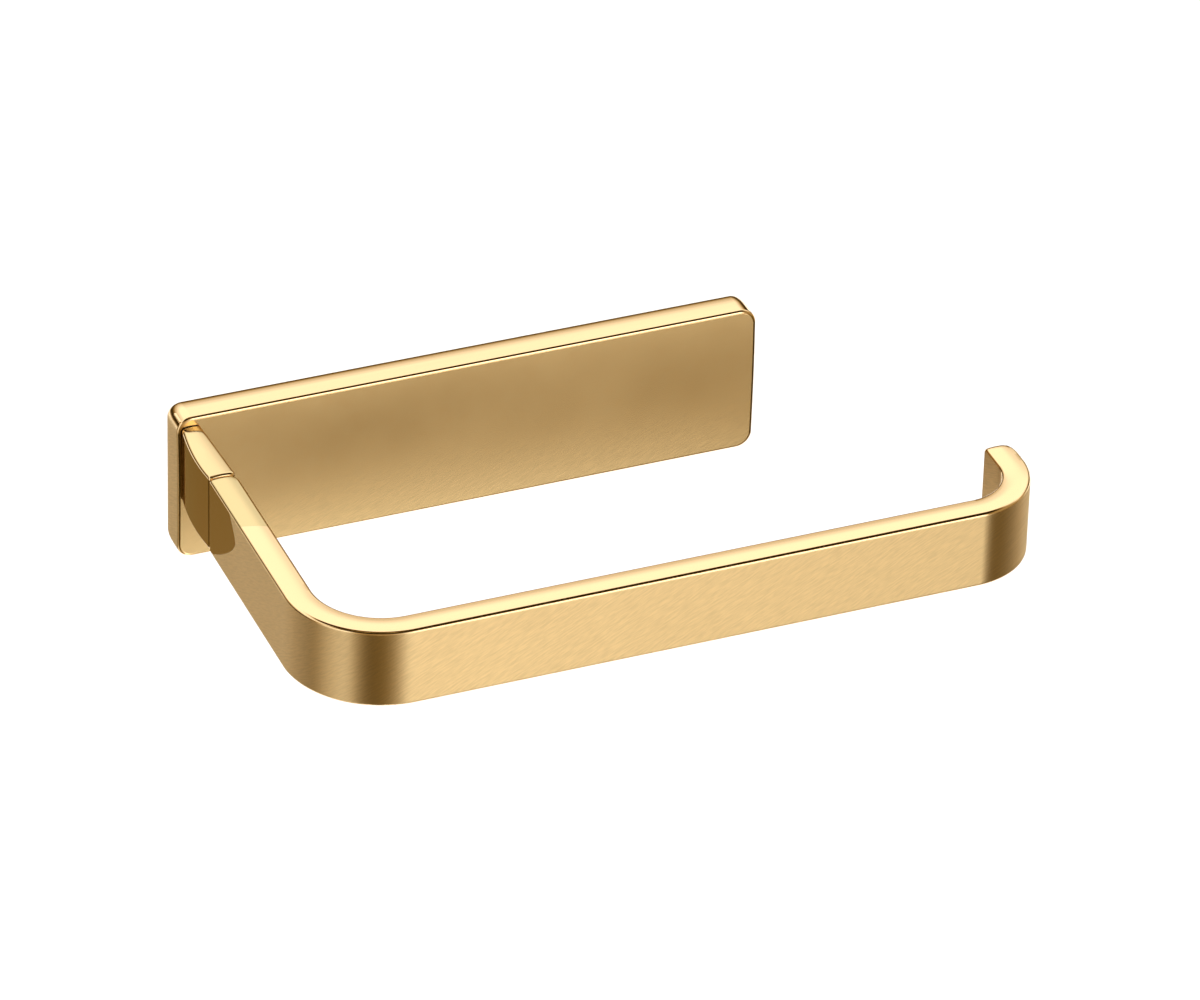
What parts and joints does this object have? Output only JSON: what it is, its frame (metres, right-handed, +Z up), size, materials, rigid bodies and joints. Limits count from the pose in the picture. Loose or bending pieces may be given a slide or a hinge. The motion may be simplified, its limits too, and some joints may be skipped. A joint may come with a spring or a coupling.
{
  "type": "toilet paper holder",
  "caption": "Wall-mounted open toilet paper holder: a flat bar on a short post, bent round in front of a long rounded cover and hooked back at its free end.",
  "frame": {"origin": "on the wall plane, at the middle of the wall bracket's back face behind the middle of the cover", "axes": "+X along the wall towards the bar's open hooked end, +Y into the wall, so -Y points into the room, +Z up"},
  "size_m": [0.1673, 0.1158, 0.0358],
  "materials": {
    "satin_gold_cover": "satin brushed gold front and ends, polished top edge",
    "polished_gold_post": "polished gold",
    "satin_gold_arm": "satin brushed gold faces, polished narrow edges",
    "zinc_plated_steel": "bright zinc plated",
    "black_steel": "black oxide",
    "grey_nylon": "moulded nylon"
  },
  "bodies": {
    "root": {"cover_plate": "satin_gold_cover", "wall_bracket": "zinc_plated_steel", "arm_post": "polished_gold_post", "roll_arm": "satin_gold_arm", "post_screw_lower": "zinc_plated_steel", "post_screw_upper": "zinc_plated_steel", "arm_set_screw": "black_steel", "cover_set_screw_left": "black_steel", "cover_set_screw_right": "black_steel", "wall_screw_left": "zinc_plated_steel", "wall_screw_right": "zinc_plated_steel", "wall_plug_left": "grey_nylon", "wall_plug_right": "grey_nylon"}
  },
  "joints": []
}
